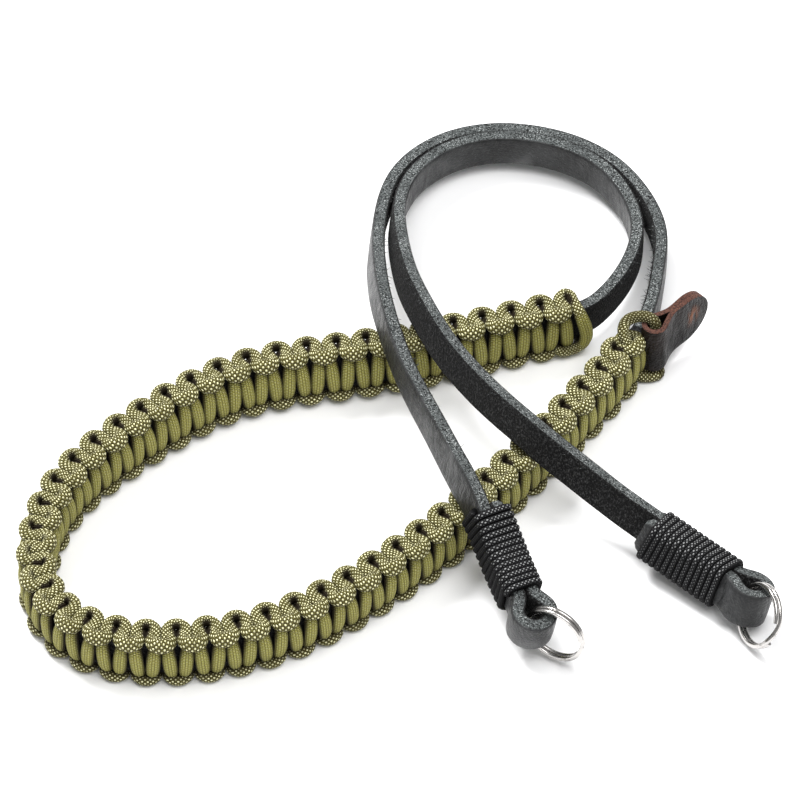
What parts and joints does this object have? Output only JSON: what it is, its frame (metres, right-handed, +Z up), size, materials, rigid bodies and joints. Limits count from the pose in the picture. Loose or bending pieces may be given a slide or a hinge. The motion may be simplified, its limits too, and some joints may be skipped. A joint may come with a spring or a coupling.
{
  "type": "coiled camera strap",
  "caption": "Coiled leather camera strap with a braided cord section, whipped folded ends, split rings and a folded leather tab, lying on its edge.",
  "frame": {"origin": "bottom centre of the bounding box, on the table that the strap lies on", "axes": "+X to the right past both ring ends, +Y away from the viewer towards the leather loop, +Z up off the table"},
  "size_m": [0.2118, 0.1974, 0.0324],
  "materials": {
    "strap_leather": "satin charcoal grain, dry grey cut edges",
    "braid_cord": "woven olive cord with pale flecks",
    "whipping_cord": "braided black cord with white flecks",
    "ring_metal": "bright nickel plate",
    "tab_leather": "worn dark brown with raw reddish edges"
  },
  "bodies": {
    "strap": {"leather_strap": "strap_leather", "cord_braid": "braid_cord", "whipping_left": "whipping_cord", "whipping_right": "whipping_cord", "tab_cord": "braid_cord", "leather_tab": "tab_leather"},
    "left_ring": {"split_ring_left": "ring_metal"},
    "right_ring": {"split_ring_right": "ring_metal"}
  },
  "joints": [
    {"name": "left_ring_swing", "type": "hinge", "parent": "strap", "child": "left_ring", "pos_m": [0.03666, -0.08472, 0.01269], "axis": [0.13, -0.135, 0.9823], "range_deg": [-117, 43]},
    {"name": "right_ring_swing", "type": "hinge", "parent": "strap", "child": "right_ring", "pos_m": [0.09668, -0.0743, 0.0089], "axis": [0.255, 0.254, 0.933], "range_deg": [-53, 107]}
  ]
}
